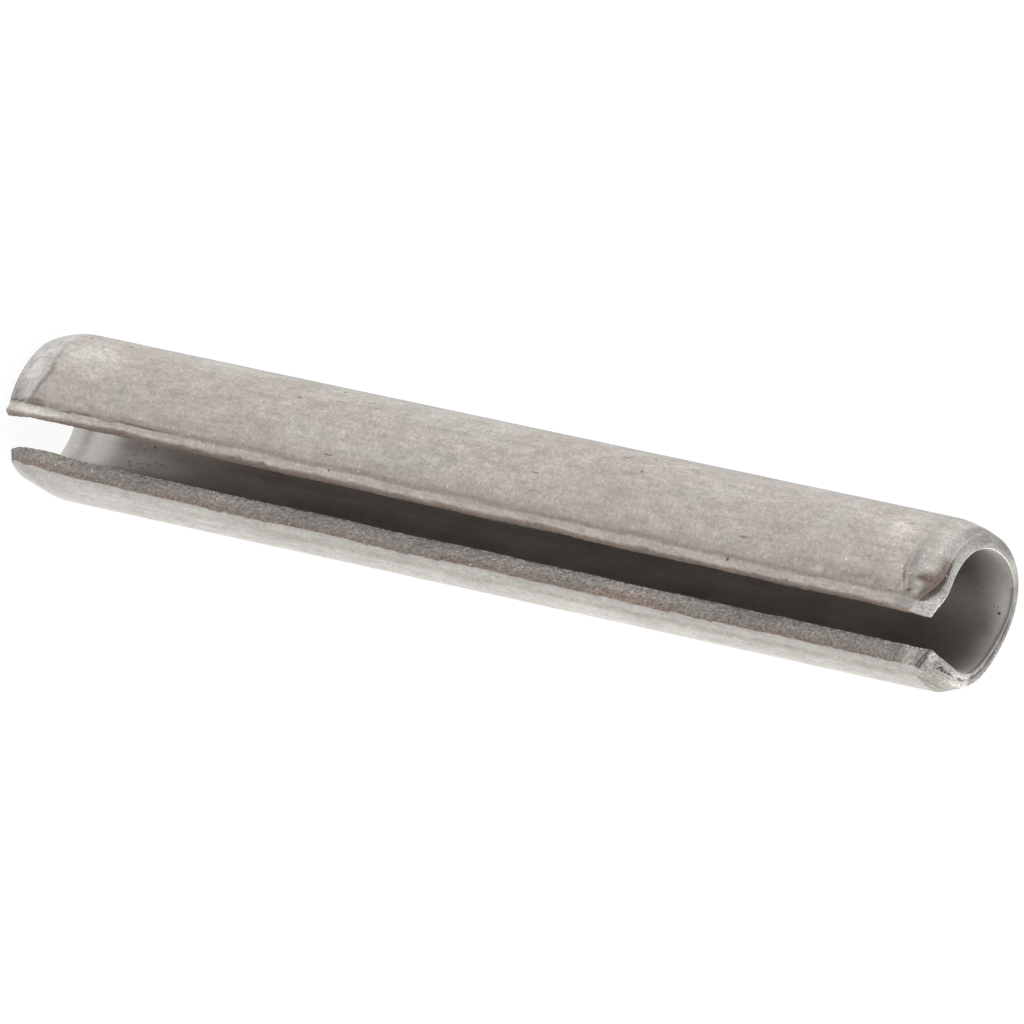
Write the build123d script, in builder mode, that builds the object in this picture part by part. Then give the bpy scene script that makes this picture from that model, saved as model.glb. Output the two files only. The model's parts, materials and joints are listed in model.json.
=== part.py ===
from build123d import *

import os
from math import sqrt

# Spring roll pin: a strip of hardened spring steel rolled into an open tube.
#
# It is driven into a hole smaller than itself, closes a little on its slot, and grips the hole.
# The pin stands on its square end, because on its side it would roll. Z is its axis, and its
# slot faces -Y. The origin is on the surface that it stands on, on that axis.

# Size of the pin (mm)
length = 30.0             # over both ends
outer_diameter = 4.6      # free, for a 4 mm hole
wall = 0.6                # thickness of the strip

# Slot between the strip's two edges, which are its lips
slot_mouth = 1.7          # between the outer corners of the lips
slot_throat = 0.94        # between their inner corners
lip_flat = 0.24           # width of the flat along each lip, which the rolls left unbent
lip_flat_drop = 0.02      # how far that flat lies inside the tube's round, at the slot
lip_corner_radius = 0.06  # tumbled outer corner of each lip

# Swaged ends, which start the pin in its hole
taper_length = 1.15       # from the end of the shank to the rim
taper_drop = 0.31         # how far the taper goes in, at the outer edge of the end face
end_face_slant = 0.1      # how far the sheared end face falls back outside the rim
rim_width = 0.1           # foremost ring of the end face, round the bore
draw_in_length = 0.9      # stretch at each end over which the bore is drawn in
draw_in = 0.04            # how far it is drawn in, at the rim
shank_fold_radius = 1.6   # soft fold between shank and taper
bore_fold_radius = 4.0    # soft fold in the bore
end_edge_radius = 0.05    # tumbled edges of the end face

# Corners of the strip at the top end, which fall back beside the slot
corner_start = 1.4        # from the axis to where they would start, if they were not rounded
corner_knee = 1.85        # from the axis to where they start to level out
corner_fall = 0.94        # how far they have fallen there
corner_brim = 0.85        # how far they fall for each mm outside it
corner_rounding = 0.9     # the round in which they start
knee_rounding = 0.3       # the round in which they level out

# What follows from them
outer_radius = outer_diameter / 2
bore_radius = outer_radius - wall
rim_radius = bore_radius - draw_in
half_length = length / 2
shank_end = half_length - taper_length
bore_end = half_length - draw_in_length

# Both profiles are drawn half way up the pin: one along its axis, one across it. Across it, the
# profile's own y points out of the slot.
along = Plane(origin=(0, 0, half_length), x_dir=(1, 0, 0), z_dir=(0, -1, 0))
across = Plane(origin=(0, 0, half_length), x_dir=(-1, 0, 0), z_dir=(0, 0, 1))

# The fallen corners are drawn from the side, at the top: out of the slot is the profile's own x
beside = Plane(origin=(0, 0, length), x_dir=(0, -1, 0), z_dir=(-1, 0, 0))
clear_of_top = 0.02       # how far their profile starts above the end face

# Corners of one lip: how far each is from the slot's middle
throat_half = slot_throat / 2
mouth_half = slot_mouth / 2
flat_half = mouth_half + lip_flat

with BuildPart() as roll_pin:
    # The whole tube, from its wall's outline beside the axis: a straight shank between two tapers
    with BuildSketch(along):
        with BuildLine():
            upper_outline = FilletPolyline(
                (outer_radius, 0),
                (outer_radius, shank_end),
                (outer_radius - taper_drop, half_length - end_face_slant),
                (rim_radius + rim_width, half_length),
                (rim_radius, half_length),
                (bore_radius, bore_end),
                (bore_radius, 0),
                radius=[
                    shank_fold_radius,
                    end_edge_radius,
                    end_edge_radius,
                    end_edge_radius,
                    bore_fold_radius,
                ],
            )
            mirror(upper_outline, about=Plane.XZ)
        make_face()
    revolve(axis=Axis.Z)

    # The slot, cut along the whole pin: the gap between the lips, and what their flats leave out
    with BuildSketch(across):
        with BuildLine():
            half_slot = FilletPolyline(
                (0, 0),
                (throat_half, 0),
                (throat_half, sqrt(bore_radius**2 - throat_half**2)),
                (mouth_half, sqrt(outer_radius**2 - mouth_half**2) - lip_flat_drop),
                (flat_half, sqrt(outer_radius**2 - flat_half**2)),
                (flat_half, outer_diameter),
                (0, outer_diameter),
                radius=[0, 0, lip_corner_radius, 0, 0],
            )
            mirror(half_slot, about=Plane.YZ)
        make_face()
    extrude(amount=length, both=True, mode=Mode.SUBTRACT)

    # The fallen corners at the top
    with BuildSketch(beside):
        with BuildLine():
            FilletPolyline(
                (0, clear_of_top),
                (corner_start, 0),
                (corner_knee, -corner_fall),
                (outer_diameter, -corner_fall - corner_brim * (outer_diameter - corner_knee)),
                (outer_diameter, wall),
                (0, wall),
                radius=[corner_rounding, knee_rounding, 0, 0],
                close=False,
            )
            Line((0, wall), (0, clear_of_top))
        make_face()
    extrude(amount=outer_diameter, both=True, mode=Mode.SUBTRACT)

roll_pin.part.label = "roll_pin"

os.makedirs("parts", exist_ok=True)
export_step(roll_pin.part, "parts/roll_pin.step")
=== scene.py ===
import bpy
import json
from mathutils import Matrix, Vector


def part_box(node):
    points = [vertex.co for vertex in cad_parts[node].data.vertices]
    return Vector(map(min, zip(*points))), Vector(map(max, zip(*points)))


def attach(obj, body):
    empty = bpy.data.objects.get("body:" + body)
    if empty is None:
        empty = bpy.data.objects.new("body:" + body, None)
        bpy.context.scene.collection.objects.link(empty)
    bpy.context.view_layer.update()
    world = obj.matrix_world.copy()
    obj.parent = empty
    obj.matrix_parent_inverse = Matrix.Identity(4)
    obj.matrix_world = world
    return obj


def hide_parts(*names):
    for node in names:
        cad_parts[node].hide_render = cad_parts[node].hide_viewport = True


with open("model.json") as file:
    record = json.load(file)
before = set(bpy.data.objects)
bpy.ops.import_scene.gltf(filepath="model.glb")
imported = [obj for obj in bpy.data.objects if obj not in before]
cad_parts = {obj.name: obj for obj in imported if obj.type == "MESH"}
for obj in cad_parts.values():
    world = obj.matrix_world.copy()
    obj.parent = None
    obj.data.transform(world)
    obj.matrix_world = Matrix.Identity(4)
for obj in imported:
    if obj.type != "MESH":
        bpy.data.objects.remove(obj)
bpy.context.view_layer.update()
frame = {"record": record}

# Slotted spring pin: a strip of spring steel, sheared to width, rolled into an open tube and
# swaged at both ends. It is made here the way the real one is: the flat strip first, with its
# tumbled edges, then each of its points is rolled round the pin's axis. Sizes are in metres.
#
# The pin stands on its foot, and its slot faces -Y. Angles round it are from the middle of the
# slot, and go up towards +X. The strip has two lips, one on each side of the slot: the left one
# is towards -X, and the right one towards +X.

import json
from functools import partial
from math import atan2, cos, exp, floor, pi, radians, sin, sqrt

import bmesh
import bpy
from bpy.props import FloatProperty, FloatVectorProperty, PointerProperty
from mathutils import Quaternion, Vector, noise

bl_info = {
    "name": "Spring Roll Pin",
    "version": (1, 0, 0),
    "blender": (4, 5, 0),
    "location": "View3D > Sidebar > Roll Pin",
    "description": "Rolls a slotted spring pin from a flat strip and sets it on a pale stage",
    "category": "Add Mesh",
}

MM = 0.001
NODE = "roll_pin"
BODY = "root"

LOW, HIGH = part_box(NODE)
MOUNTS = {mount["name"]: mount for mount in frame["record"]["mounts"]}
PIN_LENGTH = HIGH[2] - LOW[2]
OUTER_RADIUS = MOUNTS["shank"]["dims"]["r_mm"] * MM
BORE_RADIUS = MOUNTS["bore"]["dims"]["r_mm"] * MM

LEFT, RIGHT = -1, 1


def linear(hex_colour):
    """An sRGB hex colour as the linear RGBA that shaders take."""
    channels = [int(hex_colour[i : i + 2], 16) / 255 for i in (1, 3, 5)]
    flat = [c / 12.92 if c <= 0.04045 else ((c + 0.055) / 1.055) ** 2.4 for c in channels]
    return (*flat, 1.0)


def length_property(name, description, default_mm):
    """A length that a user may change, with its default given in millimetres."""
    return FloatProperty(
        name=name, description=description, default=default_mm * MM, unit="LENGTH", precision=5
    )


def angle_property(name, description, default_degrees):
    """An angle that a user may change, with its default given in degrees."""
    return FloatProperty(
        name=name, description=description, default=radians(default_degrees), subtype="ANGLE"
    )


def colour_property(name, description, hex_colour):
    """A colour that a user may change, with its default given as sRGB hex."""
    return FloatVectorProperty(
        name=name, description=description, default=linear(hex_colour), size=4, subtype="COLOR",
        min=0.0, max=1.0,
    )


class PinSizes(bpy.types.PropertyGroup):
    """Sizes of the pin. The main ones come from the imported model."""

    length: length_property("Length", "Over both ends", PIN_LENGTH / MM)
    outer_radius: length_property("Outer radius", "Of the shank, free", OUTER_RADIUS / MM)
    bore_radius: length_property("Bore radius", "Inside the rolled strip", BORE_RADIUS / MM)
    throat: length_property("Slot throat", "Between the lips' inner corners", 0.94)
    mouth: length_property("Slot mouth", "Between the lips' outer corners", 1.7)
    lip_flat: length_property("Lip flat", "Unbent width along each lip", 0.24)
    lip_flat_drop: length_property("Lip flat drop", "How far it lies inside the round", 0.02)
    edge_round: length_property("Edge round", "Tumbled radius of every edge", 0.05)
    fold: length_property("Fold", "From an end to where its taper starts", 1.22)
    fold_groove: length_property("Fold groove", "Depth of the die's mark at the fold", 0.010)
    taper_drop: length_property("Taper drop", "How far the taper goes in at the end", 0.31)
    draw_in: length_property("Bore draw-in", "How far the bore narrows at the rim", 0.04)
    draw_in_length: length_property("Draw-in length", "Stretch that it is drawn in over", 0.9)
    foot_slant: length_property("Foot slant", "How far the foot's end face falls back", 0.17)
    top_slant: length_property("Top slant", "How far the top's end face falls back", 0.06)
    top_saddle: length_property("Top saddle", "How far the top's sides dip", 0.15)
    corner_start: length_property("Corner start", "Where the top corners start to fall", 1.4)
    corner_knee: length_property("Corner knee", "Where they start to level out", 1.85)
    corner_fall: length_property("Corner fall", "How far they have fallen there", 0.94)
    fallen_rim: length_property("Fallen rim", "Outer radius that the fall is reckoned at", 1.9)
    lip_wear: length_property("Lip wear", "How far the lips' edges wander", 0.04)
    lip_tears: length_property("Lip tears", "Depth of the steps torn from the lips", 0.08)
    jags: length_property("Jags", "Depth of the small teeth along the lips", 0.035)
    curl: length_property("Curl", "Height of the burr at the top of the right lip", 0.08)
    cracks: length_property("Cracks", "Depth of the cracks beside the curl", 0.06)
    chatter: length_property("Chatter", "Depth of the shear marks on the lips", 0.014)
    slot_twist: angle_property("Slot twist", "Turn of the slot from foot to top", 3.8)


class SteelColours(bpy.types.PropertyGroup):
    """Colours of the pin's steel."""

    warm: colour_property("Warm steel", "Where tumbling left it bare", "#BDB4AD")
    cool: colour_property("Cool steel", "Under its thin grey film", "#B8B3AD")
    straw: colour_property("Straw", "Where its temper shows", "#B0A79B")
    # The back is darker: painted shade
    back: colour_property("Back", "Where more of the furnace's film is left", "#AFA7A0")
    # A painted reflection along the far left
    painted_reflection: colour_property("Film", "Grey streak along the far left", "#ACACAA")
    # Darker beside the slot: painted shade
    beside: colour_property("Beside the slot", "Where oil browned it", "#A8A09A")
    # The right side is lighter: painted light
    lit_side: colour_property("Rubbed steel", "Right of the slot", "#BAB8B4")
    flat: colour_property("Lip flats", "Rubbed bright along the slot", "#BAB3AE")
    # A dark brown-grey: a line along the lip flats' crease, dark strokes at the top's rim, and
    # scratches
    crease: colour_property("Crease", "Dirt along the lip flats", "#6B5A52")
    # Lighter on the foot's taper: partly burnished, partly a painted reflection
    taper: colour_property("Tapers", "Burnished by the die", "#CBCAC8")
    # Painted shade along the folds and in patches near them
    fold: colour_property("Folds", "Where the tapers start", "#8F8D8B")
    brown: colour_property("Brown stain", "Burnt oil", "#624A42")
    swaged: colour_property("Top taper", "Dulled by the die", "#AFABA5")
    # Painted shade: on the top taper's right, round the top's rim, and on its right end face
    painted_shade: colour_property("Dulled steel", "Round the top's rim, and right of it", "#7F7B77")
    sheared: colour_property("Sheared edge", "Its bare grain", "#ABA6A1")
    cropped: colour_property("End faces", "Cropped to length, then dulled", "#9E9B97")
    torn: colour_property("Torn edge", "The rougher half of the shear", "#968980")
    bore: colour_property("Bore", "Never tumbled", "#BAB6B2")
    bore_brown: colour_property("Brown bore", "Where oil stayed", "#A49B96")
    # Painted shade deeper in the bore
    bore_shade: colour_property("Soot", "Burnt oil inside the bore", "#8E8A86")
    # Painted light at the bore's open ends
    mouth: colour_property("Mouths of the bore", "Drawn bright by the die", "#E6E4E0")
    # Also painted highlights on the pucker's bumps and along the foot's lip flat, and lighter
    # patches near both ends
    light: colour_property("Light specks", "Bruised or rubbed points", "#ECE8E3")
    dark: colour_property("Dark specks", "Pits", "#3F3733")


class StageSettings(bpy.types.PropertyGroup):
    """Where the camera stands, and how strong the lights are."""

    azimuth: angle_property("Azimuth", "Of the line of sight, from the front", 27.505)
    elevation: angle_property("Elevation", "Of the camera over the floor", 31.4)
    roll: angle_property("Roll", "Of the camera about its line of sight", 102.2)
    distance: length_property("Distance", "From the camera to its aim", 338.68)
    aim: FloatVectorProperty(
        name="Aim",
        description="Point on the line of sight",
        default=(0.086 * MM, 0.107 * MM, 15.252 * MM),
        subtype="TRANSLATION",
        precision=6,
    )
    lens: FloatProperty(name="Lens", description="Focal length on 36 mm", default=446.5)
    floor: colour_property("Floor", "Of the table", "#F2F2F2")
    world: FloatProperty(name="World", description="Strength of the light all round", default=1.25)


# ------------------------ the strip, flat

ACROSS, THROUGH, ALONG = range(3)  # the flat strip's axes; its bore side is at 0 through it
LIP_ZONE = 0.9 * MM  # strip beside each lip that is cut finer
END_ZONE = 2.2 * MM  # stretch at each end that is cut finer

# How many cuts divide each stretch of the strip
END_CUTS = 44
SHANK_CUTS = 300
LIP_CUTS = 15
ROUND_CUTS = 54
WALL_CUTS = 7


def bisect(bm, axis, place):
    """Cuts every face of the mesh where it crosses a plane square to an axis."""
    normal = Vector((0, 0, 0))
    normal[axis] = 1.0
    bmesh.ops.bisect_plane(
        bm, geom=bm.verts[:] + bm.edges[:] + bm.faces[:], plane_co=normal * place, plane_no=normal
    )


def divide(bm, axis, low, high, cuts):
    """Divides the edges that run along an axis between two places, but not the short ones."""
    slack = 0.001 * MM
    shortest = 0.12 * MM
    straight = 0.99  # how much of its length an edge has to run along the axis
    chosen = []
    for edge in bm.edges:
        a, b = edge.verts[0].co, edge.verts[1].co
        run = abs(a[axis] - b[axis])
        inside = min(a[axis], b[axis]) > low - slack and max(a[axis], b[axis]) < high + slack
        if inside and run > straight * (a - b).length and run > shortest:
            chosen.append(edge)
    bmesh.ops.subdivide_edges(bm, edges=chosen, cuts=cuts, use_grid_fill=True)


def flat_strip(sizes, width):
    """The strip before it is rolled, with its edges tumbled round."""
    wall = sizes.outer_radius - sizes.bore_radius
    bm = bmesh.new()
    bmesh.ops.create_cube(bm, size=1.0)
    bmesh.ops.scale(bm, vec=(width, wall, sizes.length), verts=bm.verts)
    bmesh.ops.translate(bm, vec=(0, wall / 2, sizes.length / 2), verts=bm.verts)
    bmesh.ops.bevel(
        bm,
        geom=bm.edges[:],
        offset=sizes.edge_round,
        offset_type="OFFSET",
        segments=3,
        profile=0.5,
        affect="EDGES",
        material=-1,
    )
    lip_start = width / 2 - LIP_ZONE
    top_start = sizes.length - END_ZONE
    for place in (-lip_start, lip_start):
        bisect(bm, ACROSS, place)
    for place in (END_ZONE, top_start):
        bisect(bm, ALONG, place)
    divide(bm, ALONG, 0, END_ZONE, END_CUTS)
    divide(bm, ALONG, top_start, sizes.length, END_CUTS)
    divide(bm, ALONG, END_ZONE, top_start, SHANK_CUTS)
    divide(bm, ACROSS, -width / 2, -lip_start, LIP_CUTS)
    divide(bm, ACROSS, lip_start, width / 2, LIP_CUTS)
    divide(bm, ACROSS, -lip_start, lip_start, ROUND_CUTS)
    divide(bm, THROUGH, 0, wall, WALL_CUTS)
    return bm


# ------------------------ the strip, rolled

# The lips
LIP_FACE = 0.999  # share of the way across, past which a point is on a lip's face
LIP_REACH = 0.35 * MM  # how far into the strip a lip's wear is felt
LIP_SLOPE = 0.030 * MM  # worn off the flats at the lips' edges
CREASE_DEPTH = 0.003 * MM  # of the groove along the flats
TEAR_LENGTH = 1.1 * MM  # of each sliver, more or less
TOOTH_LENGTH = 0.17 * MM
CHATTER_LENGTH = 0.11 * MM  # from one shear mark to the next
# The ends
FALL_REACH = 2.0 * MM  # from an end to where its slanting face is no longer felt
BEND = 0.36 * MM  # softness of the top corners' first bend
KNEE_BEND = 0.05 * MM  # and of their knee
KNEE_SLOPE = 0.85  # past the knee
SLUMP = 0.10 * MM  # how far the top falls at its back
FOLD_WANDER = 0.16 * MM  # how far the folds wander round the pin
GROOVE_WIDTH = 0.13 * MM  # of the die's mark at them
CRACK_SEED = (1.0, 3.0)
END_SHADE_SEED = (2.0, 5.0)
# The skin
WAVES = 0.004 * MM  # their depth
PUCKER = 0.024 * MM  # its depth, beside the left lip near the top
PUCKER_WIDTH = 0.22 * MM

# Where the lips were bent as the pin was cut off: side, height, spread and how far out of the
# slot (or into it, where less than 0), in millimetres
LIP_BENDS = (
    (LEFT, 0.0, 0.55, -0.12),
    (LEFT, 30.0, 0.50, -0.05),
    (RIGHT, 0.0, 0.22, 0.21),
    (RIGHT, 1.2, 0.80, -0.16),
)

# Marks of each look: angle in degrees, height, spread round the pin and along it in
# millimetres, and strength
MARKS = {
    "brown": (
        (-43, 29.32, 0.17, 0.30, 0.85),
        (-43, 28.69, 0.09, 0.05, 0.5),
        (-32, 28.99, 0.06, 0.10, 0.7),
        (-60, 28.62, 0.45, 0.04, 0.3),
        (-82, 28.1, 0.07, 0.28, 0.45),
        (-33, 1.25, 0.12, 0.35, 0.5),
        (-34, 27.6, 0.16, 1.1, 0.35),
    ),
    # Painted shade in patches near the folds at both ends
    "fold": (
        (-65, 29.86, 0.35, 0.12, 0.4),
        (-61, 0.55, 0.22, 0.16, 0.8),
        (-36, 0.45, 0.20, 0.14, 0.7),
        (-95, 28.7, 0.30, 0.30, 0.4),
        (-41, 29.1, 0.26, 0.20, 0.4),
    ),
    "straw": (
        (-62, 27.6, 0.50, 0.70, 0.5),
        (-62, 29.2, 0.38, 0.28, 0.7),
        (-55, 22.5, 0.60, 0.60, 0.3),
        (31, 28.4, 0.14, 1.3, 0.9),
    ),
    # Bruised and rubbed spots, a painted highlight along the foot's lip flat, and lighter patches
    # near both ends
    "light": (
        (-25, 1.0, 0.14, 1.7, 0.85),
        (-56, 0.75, 0.50, 0.38, 0.8),
        (-40, 1.9, 0.25, 0.5, 0.2),
        (-27, 2.2, 0.12, 1.0, 0.35),
        (-75, 2.4, 0.90, 1.2, 0.55),
        (-70, 0.55, 0.35, 0.12, 0.3),
        (-75, 27.8, 0.70, 0.8, 0.5),
        (20, 28.9, 0.35, 0.22, 0.6),
        (25, 29.6, 0.12, 0.30, 0.25),
        (48, 1.0, 0.80, 0.8, 0.45),
        (23, 1.60, 0.06, 0.05, 0.9),
        (22, 1.94, 0.05, 0.04, 0.8),
    ),
    "pitted": (
        (127, 2.7, 0.70, 0.65, 1.0),
        (158, 29.6, 0.22, 0.25, 1.0),
    ),
}

# What the finishes know of each point of the pin, apart from its place on the strip
LOOKS = (
    # Films, stains, dark lines, and painted light, shade and reflection on the skin
    "straw", "lit_side", "back", "painted_reflection", "beside", "crease", "brown", "light",
    # What the die left on the tapers, and painted shade at the folds and round the top's rim
    "fold", "taper", "swaged", "painted_shade", "cracks_and_shade", "shade", "turned", "curl", "grimy",
    # The lips and the end faces, with a painted highlight on the inner rims beside the left lip
    "flat", "frayed", "cropped", "torn", "burr", "corner", "rim",
    # The bore
    "mouth", "bore_shade", "oil", "pitted",
)


def mix(a, b, share):
    """A value between two others, at a share of the way."""
    return a + (b - a) * share


def smooth(share):
    """Eases from 0 to 1."""
    share = min(max(share, 0.0), 1.0)
    return share * share * (3 - 2 * share)


def ramp(value, start, run):
    """Eases from 0 to 1 as a value goes from a start over a run."""
    return smooth((value - start) / run)


def bell(distance, spread):
    """Falls from 1 to 0 away from a place, on both sides."""
    return exp(-((distance / spread) ** 2))


def fading(distance, spread, start=0.0):
    """Stays at 1 up to a start, and fades to 0 beyond it."""
    return exp(-max(distance - start, 0.0) / spread)


def eased_rise(value, softness):
    """Stays near 0, then follows the value once that is over 0."""
    return (value + sqrt(value**2 + softness**2)) / 2


class Spot:
    """A point of the strip: its place on the flat one, and later what rolling makes of it."""

    def __init__(self, rolling, across, depth, along):
        length = rolling.sizes.length
        self.depth = depth  # from the bore
        self.along = along
        self.share = across / (rolling.width / 2)
        self.side = RIGHT if self.share >= 0 else LEFT
        self.level = depth / rolling.wall  # 0 in the bore, 1 on the skin
        self.from_lip = (1 - abs(self.share)) * rolling.width / 2
        self.at_top = along > length / 2
        self.to_end = min(along, length - along)
        # From an end's outer rim, over its face or along the skin
        self.from_rim = rolling.wall - depth + self.to_end
        # 1 on an end face and its rounded edges, and 0 soon past them
        self.on_end = fading(self.to_end, 0.02 * MM, rolling.sizes.edge_round)

    def sided(self, left, right):
        """One value on the left lip's side, and another on the right one's."""
        return left if self.side == LEFT else right


class Rolling:
    """Turns places on the flat strip into places on the rolled pin."""

    def __init__(self, sizes):
        self.sizes = sizes
        radius, bore = sizes.outer_radius, sizes.bore_radius
        half_mouth, half_throat = sizes.mouth / 2, sizes.throat / 2
        flat_start = half_mouth + sizes.lip_flat
        # The flat runs straight between these two points of the section
        self.corner = (half_mouth, sqrt(radius**2 - half_mouth**2) - sizes.lip_flat_drop)
        self.crease = (flat_start, sqrt(radius**2 - flat_start**2))
        self.corner_angle = atan2(*self.corner)
        self.crease_angle = atan2(*self.crease)
        self.throat_angle = atan2(half_throat, sqrt(bore**2 - half_throat**2))
        self.wall = radius - bore
        self.width = 2 * radius * (pi - self.corner_angle)

    def place(self, across, depth, along):
        """The rolled place of one point, and what its steel looks like there."""
        spot = Spot(self, across, depth, along)
        looks = dict.fromkeys(LOOKS, 0.0)
        self.roll(spot)
        self.swage(spot)
        self.wear(spot)
        if spot.at_top:
            mark_rim = spot.sided(self.mark_left_rim, self.mark_right_rim)
            mark_rim(looks, spot)
        self.mark_skin(looks, spot)
        self.mark_tapers(looks, spot)
        self.mark_edges(looks, spot)
        self.mark_bore(looks, spot)
        turn = spot.angle + self.sizes.slot_twist * (along / self.sizes.length - 0.5)
        for kind, marks in MARKS.items():
            for degrees, height, spread, length, strength in marks:
                aside = (turn - radians(degrees)) * self.sizes.outer_radius
                near = bell(aside, spread * MM) * bell(spot.height - height * MM, length * MM)
                looks[kind] = max(looks[kind], strength * near)
        point = Vector((spot.radius * sin(turn), -spot.radius * cos(turn), spot.height))
        return point, looks

    # ------------------------ shape

    def roll(self, spot):
        """Its angle round the pin, and its height once the slanting end faces are cut."""
        spot.angle = spot.side * (pi - abs(spot.share) * (pi - self.gap(spot)))
        pull = self.fall(spot) * smooth(1 - spot.to_end / FALL_REACH)
        spot.height = spot.along - pull if spot.at_top else spot.along + pull
        spot.from_end = self.sizes.length - spot.height if spot.at_top else spot.height

    def swage(self, spot):
        """Its radius, with the lips' flats, once the die has drawn the end in."""
        sizes = self.sizes
        # The flat's crease wanders, as the lip does
        crease_shift = 1.2 * self.wander(spot, 9.0, 1.6 * MM) * sizes.lip_wear
        outer = self.outside(abs(spot.angle) + crease_shift / sizes.outer_radius)
        past_crease = (abs(spot.angle) - self.crease_angle) * sizes.outer_radius + crease_shift
        outer -= CREASE_DEPTH * bell(past_crease, 0.03 * MM)
        outer -= LIP_SLOPE * fading(spot.from_lip, 0.05 * MM)

        drop, past_fold = self.taper(spot)
        # The die's groove is deepest beside the left lip
        deepest = bell(abs(spot.angle) - radians(45), radians(28)) if spot.angle < 0 else 0.3
        groove = sizes.fold_groove * (0.5 if spot.at_top else 1.0)
        outer -= sizes.taper_drop * drop
        outer -= groove * (0.25 + deepest) * bell(past_fold, GROOVE_WIDTH)
        drawn_in = smooth(1 - spot.from_end / sizes.draw_in_length)
        inner = sizes.bore_radius - sizes.draw_in * drawn_in
        spot.radius = mix(inner, outer, spot.level)
        spot.past_crease, spot.past_fold, spot.deepest = past_crease, past_fold, deepest

    def wear(self, spot):
        """The skin's shallow waves, its pucker and the shear marks on the lips' faces."""
        sizes = self.sizes
        round_place = Vector((sin(spot.angle), cos(spot.angle), spot.along / sizes.outer_radius))
        waves = noise.noise(round_place * 1.7) + 0.5 * noise.noise(round_place * 5.1)
        # They never rise above the round
        spot.radius -= WAVES * (1.5 + waves) * spot.level
        spot.bumps = noise.noise(Vector((spot.angle * 9, 0.0, spot.along / PUCKER_WIDTH)))
        spot.pucker = bell(spot.past_crease - PUCKER_WIDTH, PUCKER_WIDTH) * spot.sided(1.0, 0.0)
        spot.pucker *= ramp(spot.height, 24 * MM, 3 * MM)
        spot.radius -= PUCKER * spot.pucker * spot.level * (1 + 2.4 * spot.bumps)
        if abs(spot.share) > LIP_FACE:
            mark = noise.noise(Vector((spot.depth, spot.along, spot.side * MM)) / CHATTER_LENGTH)
            raised = sizes.chatter * mark * sin(pi * spot.level)
            spot.angle += spot.side * raised / sizes.outer_radius

    def outside(self, angle):
        """Radius of the outside at an angle from the slot's middle, with the lips' flats."""
        angle = abs(angle)
        if angle >= self.crease_angle:
            return self.sizes.outer_radius
        (x0, y0), (x1, y1) = self.corner, self.crease
        run = Vector((x1 - x0, y1 - y0))
        ray = Vector((sin(angle), cos(angle)))
        return (x0 * run.y - y0 * run.x) / (ray.x * run.y - ray.y * run.x)

    # In the noises of the lips, the side times a number keeps the two lips apart

    def wander(self, spot, seed, size):
        """A slow and a quick wave along one lip, each about as large as 1."""
        at = Vector((spot.along / size, 7.3 * spot.side, seed))
        return noise.noise(at) + 0.5 * noise.noise(at * 3.7)

    def tears(self, spot):
        """Slivers torn from a lip's edge: each deepens slowly and ends in a step."""
        stretched = noise.noise(Vector((spot.along / (2.9 * MM), 3.1 * spot.side, 5.0)))
        at = spot.along / TEAR_LENGTH + 0.8 * stretched
        sliver = floor(at)
        depth = noise.cell(Vector((sliver + 0.5, 11.5 * spot.side, 2.5)))
        return max(depth, 0.0) * (at - sliver) ** 2

    def gap(self, spot):
        """Angle from the slot's middle to a lip's edge, as a point feels it."""
        sizes, level = self.sizes, spot.level
        near_lip = fading(spot.from_lip, LIP_REACH)
        shift = near_lip * sizes.lip_wear * self.wander(spot, 1.0, 2.4 * MM)
        shift += near_lip * level * sizes.lip_tears * self.tears(spot)
        place = (spot.along / TOOTH_LENGTH, 5.9 * spot.side, 4.0 + 1.5 * level)
        teeth = noise.noise(Vector(place))
        # The teeth are largest at the lip's two corners
        at_corners = (1 - 3.2 * level * (1 - level)) * fading(spot.from_lip, 0.08 * MM)
        shift += at_corners * sizes.jags * teeth
        for side, height, spread, out in LIP_BENDS:
            if side == spot.side:
                shift += out * MM * bell(spot.along - height * MM, spread * MM)
        return mix(self.throat_angle, self.corner_angle, level) + shift / sizes.outer_radius

    def fall(self, spot):
        """How far an end face lies behind the square end."""
        sizes, angle, level = self.sizes, spot.angle, spot.level
        if not spot.at_top:
            rounded = max(level - 0.1, 0.0) / 0.9
            # The left lip's corner was pulled out beyond the rest as the pin was cut off
            off_lip = min(spot.from_lip / (0.36 * MM), 1.0)
            return sizes.foot_slant * rounded * (mix(0.35, 1.5, off_lip) if angle < 0 else 0.7)
        # How far the point lies from the axis, towards the slot
        out = mix(sizes.bore_radius - sizes.draw_in, sizes.fallen_rim, level) * cos(angle)
        steep = sizes.corner_fall / (sizes.corner_knee - sizes.corner_start)
        fallen = eased_rise(steep * (out - sizes.corner_start), BEND)
        fallen -= (steep - KNEE_SLOPE) * eased_rise(out - sizes.corner_knee, KNEE_BEND)
        # The right corner's facet leans towards its outside
        fallen *= mix(1.12, 0.86, level) if angle > 0 else 1.0
        level_off = ramp(abs(angle), 0, radians(60))
        saddle = sizes.top_saddle * cos(angle - radians(95)) ** 2 * level_off
        slump = SLUMP * bell(angle - radians(122), radians(40))
        return sizes.top_slant * level + fallen + saddle + slump

    def taper(self, spot):
        """Share of the taper's drop, and how far past the fold a point is."""
        sizes, angle, at_top = self.sizes, spot.angle, spot.at_top
        slant = sizes.top_slant if at_top else sizes.foot_slant
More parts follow.
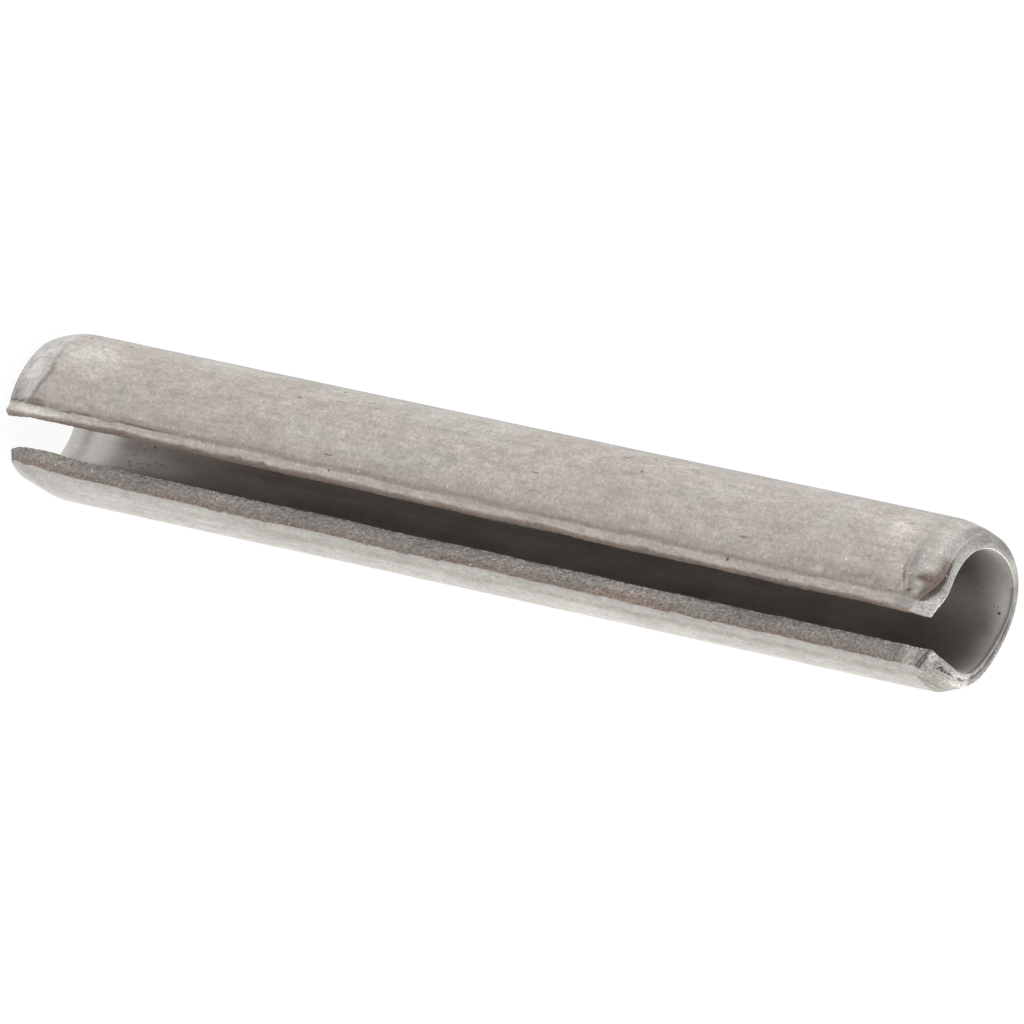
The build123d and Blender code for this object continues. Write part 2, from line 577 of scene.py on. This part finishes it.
        # The fold runs closer to the end beside the slot, and at the top's right
        fold = sizes.fold - 0.3 * MM * fading(abs(angle), radians(7), self.crease_angle)
        fold -= 0.35 * MM * bell(angle - radians(55), radians(40)) * at_top
        fold += FOLD_WANDER * noise.noise(Vector((sin(angle), cos(angle), at_top)) * 4.3)
        climb = (fold - spot.from_end) / (fold - slant)
        straight = eased_rise(climb, 0.12)
        rounded = max(climb, 0.0) ** 1.8
        leftwards = 0.5 - 0.5 * sin(angle)  # where the taper is rounder
        return min(mix(straight, rounded, leftwards), 1.05), spot.from_end - fold

    # ------------------------ looks

    def mark_left_rim(self, looks, spot):
        """The dark seam and the painted shade where the die folded the top over on the left."""
        degrees = abs(spot.angle) / radians(1)
        swept = ramp(degrees, 25, 8) * (1 - ramp(degrees, 46, 28))
        swept *= 1.2 + 0.60 * noise.noise(Vector((spot.angle * 24, *CRACK_SEED)))
        shade = ramp(degrees, 28, 12) * (1 - ramp(degrees, 135, 30))
        shade *= 0.45 + 0.55 * ramp(degrees, 85, 20) + 0.5 * bell(degrees - 38, 12)
        looks["cracks_and_shade"] = swept * bell(spot.from_rim - 0.03 * MM, 0.16 * MM)
        looks["shade"] = shade * bell(spot.from_rim - 0.10 * MM, 0.26 * MM)

    def mark_right_rim(self, looks, spot):
        """Cracks, a curled burr and painted shade round the top's end face on the right."""
        sizes = self.sizes
        degrees = spot.angle / radians(1)
        swept = ramp(degrees, 24, 6) * (1 - ramp(degrees, 56, 20))
        broken = 0.55 + noise.noise(Vector((spot.angle * 24, *CRACK_SEED)))
        crack = bell(spot.from_rim - (0.22 + 0.16 * broken) * MM, 0.06 * MM)
        along_lip = 0.55 * bell(spot.from_lip + spot.to_end - 0.06 * MM, 0.05 * MM)
        cracks_and_shade = max(swept * crack * min(max(1.2 * broken, 0.1), 0.8), along_lip)
        # Outside the cracks the skin is turned over the end
        looks["turned"] = smooth((0.34 * MM - spot.from_rim) / (0.10 * MM))
        # The burr is a ring round a small hollow, painted dark as shade
        ring = sqrt((spot.from_lip - 0.13 * MM) ** 2 + (spot.depth - 0.15 * MM) ** 2)
        looks["curl"] = bell(ring - 0.075 * MM, 0.035 * MM)
        cracks_and_shade = max(cracks_and_shade * (1 - looks["curl"]), 0.35 * bell(ring, 0.04 * MM))
        # Painted shade lies on the end face, away from the slot, with a darker painted line across
        # it
        looks["grimy"] = ramp(degrees, 66, 16) * bell(spot.to_end, 0.12 * MM)
        grime = looks["grimy"] * (1 - ramp(degrees, 155, 20))
        grime *= 0.6 + 0.5 * noise.noise(Vector((spot.angle * 30, *END_SHADE_SEED)))
        looks["cracks_and_shade"] = max(cracks_and_shade, grime * bell(spot.depth - 0.24 * MM, 0.08 * MM))
        raised = sizes.curl * looks["curl"] - sizes.cracks * looks["cracks_and_shade"]
        spot.height += raised * spot.on_end

    def mark_skin(self, looks, spot):
        """The skin's films and stains, painted shade beside the slot, most of it on the left, and
        at the back, painted light on the right side and a painted reflection along the far left.
        """
        angle, height, past_crease = spot.angle, spot.height, spot.past_crease
        flat = (1 - smooth(past_crease / (0.03 * MM) + 0.5)) * spot.sided(1.0, 0.4)
        looks["flat"] = flat
        looks["frayed"] = spot.sided(1.0, 0.0) * flat * ramp(height, 28.2 * MM, 0.7 * MM)
        # A dark line along the flat's crease
        crease = bell(past_crease, 0.026 * MM) * spot.sided(1.0, 0.12)
        crease *= 1.25 - 0.85 * ramp(height, 4 * MM, 3 * MM)
        # Past the foot, only a brown shade follows the crease
        browned = spot.sided(0.45, 0.0) * bell(past_crease - 0.07 * MM, 0.1 * MM)
        looks["crease"] = max(crease, browned)
        # Painted shade beside the slot, most of it on the left
        beside = fading(past_crease, 0.34 * MM) * spot.sided(1.0, 0.15)
        beside *= 0.4 + 0.6 * ramp(height, 0, 6 * MM)
        # The pucker gets painted shade in its hollows and a painted highlight on its bumps
        looks["beside"] = beside + spot.pucker * smooth(0.3 - 2 * spot.bumps)
        looks["light"] = 0.35 * spot.pucker * smooth(2 * spot.bumps - 0.1)
        straw = spot.sided(0.0, 1.0) * bell(past_crease - 0.08 * MM, 0.15 * MM)
        looks["straw"] = straw * (0.3 + 0.7 * ramp(height, 2 * MM, 10 * MM))
        # Painted light on the right side
        lit_side = spot.sided(0.0, 1.0) * fading(past_crease, 1.3 * MM)
        looks["lit_side"] = lit_side * (1 - 0.7 * looks["straw"])
        # A painted reflection along the far left
        looks["painted_reflection"] = bell(angle + radians(113), radians(10))
        # Painted shade at the back
        looks["back"] = ramp(abs(angle), radians(122), radians(30))

    def mark_tapers(self, looks, spot):
        """What the die left from each fold to the end: burnished at the foot, with a painted
        reflection there too, and dull at the top; and painted shade along the folds and on the top
        taper's right side.
        """
        angle, past_fold, deepest = spot.angle, spot.past_fold, spot.deepest
        drawn = smooth(0.5 - past_fold / (0.35 * MM))
        if spot.at_top:
            looks["swaged"] = drawn
            # Painted shade on the top taper's right side
            rightwards = ramp(angle, radians(12), radians(30))
            looks["painted_shade"] = drawn * rightwards * smooth((radians(160) - angle) / radians(40))
            # The right side's painted light stops at the taper
            looks["lit_side"] *= 1 - 0.9 * drawn
            # Painted shade along the fold
            looks["fold"] = bell(past_fold + 0.1 * MM, 0.18 * MM) * (0.2 + 0.5 * deepest)
            # A brown line follows the fold beside the left lip
            looks["brown"] = 0.7 * bell(past_fold - 0.1 * MM, 0.06 * MM) * max(deepest - 0.3, 0)
        else:
            # Lighter: partly burnished, partly a painted reflection
            looks["taper"] = drawn
            # Painted shade along the fold
            looks["fold"] = bell(past_fold, 0.09 * MM) * (0.25 + 0.65 * deepest)
            looks["fold"] *= 1 - 0.8 * looks["flat"]

    def mark_edges(self, looks, spot):
        """The two halves of the lips' shear, their burrs and corners, the end faces, and a
        painted highlight on the inner rims beside the left lip.
        """
        off_end = 1 - spot.on_end
        looks["cropped"] = spot.on_end
        looks["torn"] = spot.sided(1.0, spot.level) * off_end
        looks["burr"] = fading(spot.depth, 0.05 * MM, 0.02 * MM) * off_end
        looks["corner"] = fading(spot.from_lip, 0.04 * MM, 0.01 * MM) * spot.sided(1.0, 0.4)
        on_rim = fading(spot.depth, 0.05 * MM, 0.3 * self.sizes.edge_round) * spot.on_end
        near_slot = 1 - ramp(abs(spot.angle), radians(60), radians(40))
        # A painted highlight along the inner rims beside the left lip, near the slot
        looks["rim"] = spot.sided(1.0, 0.0) * on_rim * near_slot

    def mark_bore(self, looks, spot):
        """Old oil, painted shade deeper in, and painted light at the two mouths of the bore."""
        angle, from_end = spot.angle, spot.from_end
        looks["oil"] = bell(angle - radians(144), radians(12))
        if spot.at_top:
            # Painted light reaches a little way in from the top's open end
            lit_depth = (0.38 + 0.5 * smooth(0.5 - 1.2 * sin(angle))) * MM
            looks["mouth"] = smooth(1 - from_end / (0.6 * MM + lit_depth)) * (1 - 0.8 * spot.on_end)
            # Past it lies painted shade
            looks["bore_shade"] = ramp(from_end, lit_depth, 1.1 * MM)
            looks["bore_shade"] *= smooth((5 * MM - from_end) / (3 * MM))
        else:
            # Painted light in from the foot's open end, with a darker band in it
            looks["mouth"] = 0.78 * smooth((2.2 - from_end / MM) / 1.2)
            looks["mouth"] *= 1 - 0.45 * bell(from_end - 0.55 * MM, 0.18 * MM)
            # Painted shade on the far wall beside the right lip, near the foot
            looks["bore_shade"] = 0.9 * bell(angle - radians(106), radians(8)) * ramp(spot.height, 0, MM)
            looks["bore_shade"] *= 1 - ramp(spot.height, 3.5 * MM, 3 * MM)


SKIN, EDGE, BORE = range(3)  # the places of the pin's finishes
FACING = 0.6  # how squarely a face looks out of the strip to be skin or bore


def region(normal):
    """Which finish a face of the flat strip gets, from the way it faces."""
    if abs(normal.y) < FACING:
        return EDGE
    return SKIN if normal.y > 0 else BORE


def keep_inside(point):
    """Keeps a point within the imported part's box."""
    for axis in range(3):
        point[axis] = min(max(point[axis], LOW[axis]), HIGH[axis])
    return point


def rolled_pin(sizes):
    """The pin's mesh, with what its finish needs as attributes."""
    rolling = Rolling(sizes)
    bm = flat_strip(sizes, rolling.width)
    bm.normal_update()
    for face in bm.faces:
        face.smooth = True
        face.material_index = region(face.normal)
    strip = bm.verts.layers.float_vector.new("strip")
    layers = {name: bm.verts.layers.float.new(name) for name in LOOKS}
    for vert in bm.verts:
        point, looks = rolling.place(*vert.co)
        vert[strip] = vert.co / MM  # patterns are sized in millimetres of the flat strip
        vert.co = keep_inside(point)
        for name, layer in layers.items():
            vert[layer] = looks[name]
    bmesh.ops.recalc_face_normals(bm, faces=bm.faces)
    mesh = bpy.data.meshes.new("pin")
    bm.to_mesh(mesh)
    bm.free()
    return mesh


# ------------------------ materials


def add_node(material, kind, links=None, sockets=None, **settings):
    """Adds a node with its properties and socket values, and links its inputs."""
    node = material.node_tree.nodes.new(kind)
    for name, value in settings.items():
        setattr(node, name, value)
    for socket, value in (sockets or {}).items():
        node.inputs[socket].default_value = value
    for socket, source in (links or {}).items():
        material.node_tree.links.new(source, node.inputs[socket])
    return node


# A Mix node has its sockets once for each kind of value, and these are the ones for colours.
# A Math node's inputs share one name, so their places are used too.
MIX_SHARE, MIX_A, MIX_B = 0, 6, 7
MIX_RESULT = 2


def steel(name, roughness):
    """A bare steel, which its own function then colours, and the pin's place on the strip."""
    material = bpy.data.materials.new(name)
    material.use_nodes = True
    shader = material.node_tree.nodes["Principled BSDF"]
    shader.inputs["Metallic"].default_value = 1.0
    shader.inputs["Roughness"].default_value = roughness
    strip = add_node(material, "ShaderNodeAttribute", attribute_name="strip").outputs["Vector"]
    return material, shader, strip


def pattern(material, place, size_mm, detail, stretch=(1, 1, 1), seed=0.0):
    """Cloudy noise from 0 to 1, whose clouds are about as large as a size on the strip."""
    moved = add_node(
        material, "ShaderNodeMapping", {"Vector": place},
        {"Location": (seed, 0.37 * seed, -0.61 * seed), "Scale": stretch},
    )
    clouds = add_node(
        material, "ShaderNodeTexNoise", {"Vector": moved.outputs[0]},
        {"Scale": 1 / size_mm, "Detail": detail, "Roughness": 0.62},
    )
    return add_node(
        material, "ShaderNodeMapRange", {"Value": clouds.outputs[0]},
        {"From Min": 0.3, "From Max": 0.7},
    ).outputs[0]


def specks(material, place, spacing_mm, radius_mm, share, seed, stretch=(1, 1, 1)):
    """Small spots of different sizes, in a share of the cells that far apart."""
    moved = add_node(
        material, "ShaderNodeMapping", {"Vector": place},
        {"Location": (seed, seed, seed), "Scale": stretch},
    )
    cells = add_node(
        material, "ShaderNodeTexVoronoi", {"Vector": moved.outputs[0]},
        {"Scale": 1 / spacing_mm, "Randomness": 1.0},
    )
    chance = add_node(material, "ShaderNodeSeparateColor", {0: cells.outputs["Color"]})
    widest = add_node(
        material, "ShaderNodeMapRange", {"Value": chance.outputs[0]},
        {"From Min": 1 - share, "From Max": 1.0, "To Max": radius_mm / spacing_mm},
    )
    inside = add_node(
        material, "ShaderNodeMath", {0: widest.outputs[0], 1: cells.outputs["Distance"]},
        operation="SUBTRACT",
    )
    return add_node(
        material, "ShaderNodeMapRange", {"Value": inside.outputs[0]},
        {"From Min": 0.0, "From Max": 0.35 * radius_mm / spacing_mm},
    ).outputs[0]


def ragged(material, name, noise_value, raggedness, low=0.0, high=1.0):
    """A look as a mask, its boundary broken up by a noise, which rises from low to high."""
    mask = add_node(material, "ShaderNodeAttribute", attribute_name=name).outputs["Fac"]
    broken = add_node(
        material, "ShaderNodeMath", {0: noise_value, 1: mask, 2: mask},
        operation="MULTIPLY_ADD",
    )
    mixed = add_node(
        material, "ShaderNodeMix", {"A": mask, "B": broken.outputs[0]},
        {"Factor": raggedness},
    )
    return add_node(
        material, "ShaderNodeMapRange", {"Value": mixed.outputs[0]},
        {"From Min": low, "From Max": high},
        interpolation_type="SMOOTHSTEP",
    ).outputs[0]


def layered(material, ground, layers):
    """Colours laid one over another: each with its mask, and how strong it is."""
    colour = ground
    for top, mask, strength in layers:
        share = add_node(
            material, "ShaderNodeMath", {0: mask}, {1: strength}, operation="MULTIPLY"
        )
        colour = add_node(
            material, "ShaderNodeMix", {MIX_SHARE: share.outputs[0], MIX_A: colour},
            {MIX_B: top},
            data_type="RGBA",
        ).outputs[MIX_RESULT]
    return colour


def shaded(material, colour, noises):
    """A colour made lighter and darker by noises, each with how much."""
    for value, amount in noises:
        level = add_node(
            material, "ShaderNodeMapRange", {"Value": value},
            {"To Min": 1 - amount, "To Max": 1 + amount},
            clamp=False,
        )
        colour = add_node(
            material, "ShaderNodeMix", {MIX_A: colour, MIX_B: level.outputs[0]},
            {MIX_SHARE: 1.0},
            data_type="RGBA",
            blend_type="MULTIPLY",
        ).outputs[MIX_RESULT]
    return colour


def relief(material, shader, heights):
    """Bumps of the surface: each a noise and its depth in millimetres, less than 0 for pits."""
    normal = None
    for value, depth in heights:
        bump = add_node(
            material, "ShaderNodeBump", {"Height": value},
            {"Strength": 1.0, "Distance": abs(depth) * MM},
            invert=depth < 0,
        )
        if normal:
            material.node_tree.links.new(normal, bump.inputs["Normal"])
        normal = bump.outputs[0]
    material.node_tree.links.new(normal, shader.inputs["Normal"])


def tumbled_spring_steel(colours):
    """Hardened spring steel, tumbled: a satin grey that clouds from warm to cool, with fine
    grain, faint marks along the strip from rolling, small pits, scratches and bruises, dark lines
    in the creases, and a film that the swaging die burnished at the ends. Over these lie painted
    light on the right side, painted shade beside the slot, at the back, at the folds and round
    the top's rim, painted highlights and a painted reflection along the far left."""
    roughness, roughness_spread = 0.62, 0.06
    material, shader, strip = steel("tumbled_spring_steel", roughness)
    where = partial(ragged, material)
    clouds = pattern(material, strip, 1.1, 1, (1, 1, 0.5), 3.0)
    patches = pattern(material, strip, 0.36, 3, (1, 1, 0.5), 8.0)
    flakes = pattern(material, strip, 0.11, 3, (1, 1, 0.7), 11.0)
    streaks = pattern(material, strip, 0.09, 3, (1, 1, 0.07), 15.0)
    # Tumbling grit of about 0.03 mm, drawn at twice that so that it shows
    grain = pattern(material, strip, 0.06, 2, (1, 1, 0.85), 21.0)
    pits = specks(material, strip, 0.40, 0.060, 0.30, 1.7)
    scratches = specks(material, strip, 0.26, 0.045, 0.35, 4.4, (1, 1, 0.22))
    bruises = specks(material, strip, 0.14, 0.050, 0.50, 9.2)
    bruised = add_node(
        material, "ShaderNodeMath", {0: bruises, 1: patches}, operation="MULTIPLY"
    ).outputs[0]

    ground = add_node(
        material, "ShaderNodeMix", {MIX_SHARE: clouds},
        {MIX_A: colours.warm, MIX_B: colours.cool},
        data_type="RGBA",
    ).outputs[MIX_RESULT]
    layers = (
        (colours.straw, where("straw", patches, 0.8), 0.8),
        # Painted light on the right side, with lighter streaks in it
        (colours.lit_side, where("lit_side", patches, 0.4), 0.8),
        (colours.light, where("lit_side", streaks, 1.0, 0.6, 1.9), 0.3),
        # Painted shade at the back
        (colours.back, where("back", clouds, 0.4), 0.8),
        # A painted reflection along the far left
        (colours.painted_reflection, where("painted_reflection", streaks, 0.6, 0.1, 1.3), 0.75),
        # Painted shade beside the slot and in the pucker's hollows
        (colours.beside, where("beside", patches, 0.6), 0.7),
        # The foot's taper: partly burnished, partly a painted reflection
        (colours.taper, where("taper", patches, 0.5), 0.65),
        (colours.swaged, where("swaged", patches, 0.5), 0.9),
        # Painted shade on the top taper's right side
        (colours.painted_shade, where("painted_shade", patches, 0.4), 0.95),
        # Painted shade along the folds
        (colours.fold, where("fold", patches, 0.8, 0.1, 1.3), 0.8),
        (colours.flat, where("flat", streaks, 0.7, 0.2, 1.1), 0.95),
        (colours.cropped, where("frayed", grain, 0.8, 0.1, 1.2), 0.6),
        (colours.crease, where("crease", patches, 0.7, 0.15, 1.2), 0.75),
        # Painted shade round the top's rim
        (colours.painted_shade, where("shade", flakes, 0.9), 0.8),
        # Dark cracks, with painted shade along them
        (colours.crease, where("cracks_and_shade", flakes, 0.9, 0.1, 1.3), 0.7),
        (colours.torn, where("corner", patches, 0.7, 0.3, 1.0), 0.8),
        (colours.brown, where("brown", patches, 0.9, 0.2, 1.0), 0.85),
        # Light specks, and painted highlights on the pucker's bumps and along the foot's lip flat
        (colours.light, where("light", flakes, 0.35, 0.05, 1.1), 0.7),
        (colours.light, bruised, 0.5),
        (colours.crease, scratches, 0.55),
        (colours.dark, pits, 0.7),
    )
    colour = layered(material, ground, layers)
    noises = (clouds, 0.07), (patches, 0.11), (flakes, 0.08), (streaks, 0.06), (grain, 0.14)
    colour = shaded(material, colour, noises)
    # The right side's painted light is laid again over the shading, which evens it out
    painted_light = where("lit_side", patches, 0.3)
    colour = layered(material, colour, ((colours.lit_side, painted_light, 0.3),))
    material.node_tree.links.new(colour, shader.inputs["Base Color"])
    rough = add_node(
        material, "ShaderNodeMapRange", {"Value": clouds},
        {"To Min": roughness - roughness_spread, "To Max": roughness + roughness_spread},
    )
    material.node_tree.links.new(rough.outputs[0], shader.inputs["Roughness"])
    heights = (flakes, 0.006), (streaks, 0.0015), (grain, 0.006), (pits, -0.01)
    relief(material, shader, heights)
    return material


def sheared_edge(colours):
    """Sheared steel: dull and granular, grey where the blade cut and browner where the metal
    tore, with bright bruised points along its corners and dark ones between grains, painted
    shade round the top's rim and a painted highlight on the inner rims."""
    material, shader, strip = steel("sheared_edge", 0.66)
    where = partial(ragged, material)
    blotches = pattern(material, strip, 1.4, 3, (1, 1, 0.6), 4.0)
    grit = pattern(material, strip, 0.11, 3, (1, 1, 1), 12.0)
    grain = pattern(material, strip, 0.055, 2, (1, 1, 1), 27.0)
    points = specks(material, strip, 0.13, 0.040, 0.35, 2.9)
    holes = specks(material, strip, 0.15, 0.036, 0.35, 7.7)
    torn = where("torn", blotches, 1.0, 0.6, 1.5)

    ground = add_node(
        material, "ShaderNodeMix", {MIX_SHARE: torn},
        {MIX_A: colours.sheared, MIX_B: colours.torn},
        data_type="RGBA",
    ).outputs[MIX_RESULT]
    layers = (
        (colours.cropped, where("cropped", grit, 0.3), 1.0),
        (colours.swaged, where("turned", grit, 0.4), 0.9),
        # Painted shade on the top's right end face
        (colours.painted_shade, where("grimy", grit, 0.3), 0.95),
        # Painted shade round the top's rim
        (colours.painted_shade, where("shade", grit, 0.9), 0.7),
        # A painted highlight on the inner rims beside the left lip
        (colours.light, where("rim", grit, 0.9, 0.3, 1.4), 0.2),
        (colours.light, where("curl", grit, 0.5), 0.4),
        (colours.light, where("light", grit, 0.6), 0.5),
        (colours.light, where("burr", grit, 1.0, 0.5, 1.45), 0.7),
        # Dark cracks, with painted shade in the burr's hollow and across the end face
        (colours.dark, where("cracks_and_shade", grit, 0.9, 0.15, 0.9), 0.85),
        (colours.light, points, 0.5),
        (colours.dark, holes, 0.6),
    )
    colour = layered(material, ground, layers)
    colour = shaded(material, colour, ((blotches, 0.21), (grit, 0.26), (grain, 0.24)))
    material.node_tree.links.new(colour, shader.inputs["Base Color"])
    relief(material, shader, ((grit, 0.012), (grain, 0.006), (holes, -0.01)))
    return material


def drawn_bore(colours):
    """The strip's inner side, which the tumbling never reached: smoother and darker, with
    faint lines along it, a brown film of old oil, a few black pits, painted light at the two
    open ends and painted shade deeper in."""
    material, shader, strip = steel("drawn_bore", 0.55)
    where = partial(ragged, material)
    clouds = pattern(material, strip, 1.4, 3, (1, 1, 0.5), 6.0)
    streaks = pattern(material, strip, 0.12, 3, (1, 1, 0.05), 18.0)
    grain = pattern(material, strip, 0.07, 2, (1, 1, 1), 33.0)
    pits = specks(material, strip, 0.55, 0.045, 0.20, 5.1)
    corrosion = specks(material, strip, 0.15, 0.074, 0.95, 12.6)
    corroded = add_node(
        material, "ShaderNodeMath", {0: corrosion, 1: where("pitted", clouds, 0.2, 0.2, 0.7)},
        operation="MULTIPLY",
    )

    ground = add_node(
        material, "ShaderNodeMix", {MIX_SHARE: clouds},
        {MIX_A: colours.bore, MIX_B: colours.bore_brown},
        data_type="RGBA",
    ).outputs[MIX_RESULT]
    layers = (
        (colours.brown, where("oil", clouds, 0.4), 0.35),
        # Painted shade deeper in the bore
        (colours.bore_shade, where("bore_shade", clouds, 0.3), 1.0),
        # Painted light at the two open ends
        (colours.mouth, where("mouth", clouds, 0.2), 0.9),
        # Painted shade on the inner edge of the top's right end
        (colours.painted_shade, where("grimy", grain, 0.3), 0.7),
        (colours.dark, pits, 0.7),
        (colours.dark, corroded.outputs[0], 0.9),
    )
    colour = layered(material, ground, layers)
    colour = shaded(material, colour, ((streaks, 0.03), (grain, 0.07)))
    material.node_tree.links.new(colour, shader.inputs["Base Color"])
    relief(material, shader, ((streaks, 0.002), (grain, 0.002), (pits, -0.01)))
    return material


# ------------------------ the pin


class ROLLPIN_OT_pin(bpy.types.Operator):
    """Rolls the strip into the pin and finishes its steel"""

    bl_idname = "rollpin.pin"
    bl_label = "Roll the Pin"

    def execute(self, context):
        scene = context.scene
        mesh = rolled_pin(scene.pin_sizes)
        for finish in (tumbled_spring_steel, sheared_edge, drawn_bore):
            mesh.materials.append(finish(scene.pin_colours))
        pin = bpy.data.objects.new("pin", mesh)
        scene.collection.objects.link(pin)
        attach(pin, BODY)
        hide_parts(NODE)
        return {"FINISHED"}


# ------------------------ the stage

FLOOR_HALF = 1.5  # half the floor's side
WHITE_SHARE = 0.94  # how much of the floor's white doesn't depend on the lights

# Name, direction from the pin in degrees (0 is +Y, 90 is +X) and up from the floor, distance,
# width and height in metres, radiance, where 1 is white, and colour
LIGHTS = (
    ("left_light", -50, 19, 0.45, 0.50, 0.30, 2.2, "#F6FAFF"),
    ("right_light", 72, 19, 0.45, 0.50, 0.30, 6.0, "#FFFFFF"),
    ("front_left_light", -112, 24, 0.45, 0.30, 0.25, 1.0, "#FFFFFF"),
)


def white_table(stage):
    """A matt white table top, bright enough to read as white, on which a shadow still shows."""
    material = bpy.data.materials.new("white_table")
    material.use_nodes = True
    tree = material.node_tree
    shader = tree.nodes["Principled BSDF"]
    shader.inputs["Base Color"].default_value = stage.floor
    shader.inputs["Roughness"].default_value = 0.8
    path = add_node(material, "ShaderNodeLightPath").outputs
    seen = path["Is Camera Ray"]
    for ray in ("Is Glossy Ray", "Is Transmission Ray"):
        seen = add_node(
            material, "ShaderNodeMath", {0: seen, 1: path[ray]}, operation="MAXIMUM"
        ).outputs[0]
    share = add_node(
        material, "ShaderNodeMath", {0: seen}, {1: WHITE_SHARE}, operation="MULTIPLY"
    ).outputs[0]
    white = add_node(material, "ShaderNodeEmission")
    blend = add_node(
        material,
        "ShaderNodeMixShader",
        {0: share, 1: shader.outputs[0], 2: white.outputs[0]},
    )
    tree.links.new(blend.outputs[0], tree.nodes["Material Output"].inputs["Surface"])
    return material


def soft_light(scene, name, heading, rise, distance, width, height, strength, colour):
    """An upright area light that faces the middle of the pin."""
    data = bpy.data.lights.new(name, "AREA")
    data.shape = "RECTANGLE"
    data.size = width
    data.size_y = height
    data.energy = strength * pi * width * height
    data.color = linear(colour)[:3]
    light = bpy.data.objects.new(name, data)
    across = cos(radians(rise))
    heading = radians(heading)
    away = Vector((sin(heading) * across, cos(heading) * across, sin(radians(rise))))
    light.location = away * distance + Vector((0, 0, PIN_LENGTH / 2))
    light.rotation_euler = away.to_track_quat("Z", "Y").to_euler()
    scene.collection.objects.link(light)


class ROLLPIN_OT_stage(bpy.types.Operator):
    """Lays the floor, and sets the lights and the camera"""

    bl_idname = "rollpin.stage"
    bl_label = "Set the Stage"

    def execute(self, context):
        scene = context.scene
        stage = scene.pin_stage
        scene.view_settings.view_transform = "Standard"

        bm = bmesh.new()
        bmesh.ops.create_grid(bm, x_segments=1, y_segments=1, size=FLOOR_HALF)
        mesh = bpy.data.meshes.new("floor")
        bm.to_mesh(mesh)
        bm.free()
        mesh.materials.append(white_table(stage))
        floor_object = bpy.data.objects.new("floor", mesh)
        scene.collection.objects.link(floor_object)

        world = bpy.data.worlds.new("studio")
        scene.world = world
        world.use_nodes = True
        background = world.node_tree.nodes["Background"]
        background.inputs["Color"].default_value = (1, 1, 1, 1)
        background.inputs["Strength"].default_value = stage.world
        for light in LIGHTS:
            soft_light(scene, *light)

        camera_data = bpy.data.cameras.new("camera")
        camera_data.lens = stage.lens
        camera_data.sensor_width = 36.0
        camera = bpy.data.objects.new("camera", camera_data)
        azimuth, elevation = stage.azimuth, stage.elevation
        level = Vector((sin(azimuth), cos(azimuth), 0)) * cos(elevation)
        sight = level - Vector((0, 0, sin(elevation)))
        camera.location = Vector(stage.aim) - sight * stage.distance
        upright = (-sight).to_track_quat("Z", "Y")
        camera.rotation_euler = (upright @ Quaternion((0, 0, 1), stage.roll)).to_euler()
        scene.collection.objects.link(camera)
        scene.camera = camera
        return {"FINISHED"}


# ------------------------ the sidebar


class ROLLPIN_PT_panel(bpy.types.Panel):
    """Lists the pin's sizes and colours, and its operators"""

    bl_label = "Roll Pin"
    bl_idname = "ROLLPIN_PT_panel"
    bl_space_type = "VIEW_3D"
    bl_region_type = "UI"
    bl_category = "Roll Pin"

    def draw(self, context):
        scene = context.scene
        for group in (scene.pin_sizes, scene.pin_colours, scene.pin_stage):
            for name in group.bl_rna.properties.keys():
                if name not in ("rna_type", "name"):
                    self.layout.prop(group, name)
        self.layout.operator(ROLLPIN_OT_pin.bl_idname)
        self.layout.operator(ROLLPIN_OT_stage.bl_idname)


CLASSES = (
    PinSizes,
    SteelColours,
    StageSettings,
    ROLLPIN_OT_pin,
    ROLLPIN_OT_stage,
    ROLLPIN_PT_panel,
)


def register():
    for cls in CLASSES:
        bpy.utils.register_class(cls)
    bpy.types.Scene.pin_sizes = PointerProperty(type=PinSizes)
    bpy.types.Scene.pin_colours = PointerProperty(type=SteelColours)
    bpy.types.Scene.pin_stage = PointerProperty(type=StageSettings)


def unregister():
    del bpy.types.Scene.pin_stage
    del bpy.types.Scene.pin_colours
    del bpy.types.Scene.pin_sizes
    for cls in reversed(CLASSES):
        bpy.utils.unregister_class(cls)


def main():
    """Builds everything in order."""
    register()
    bpy.ops.rollpin.pin()
    bpy.ops.rollpin.stage()


if __name__ == "__main__":
    main()
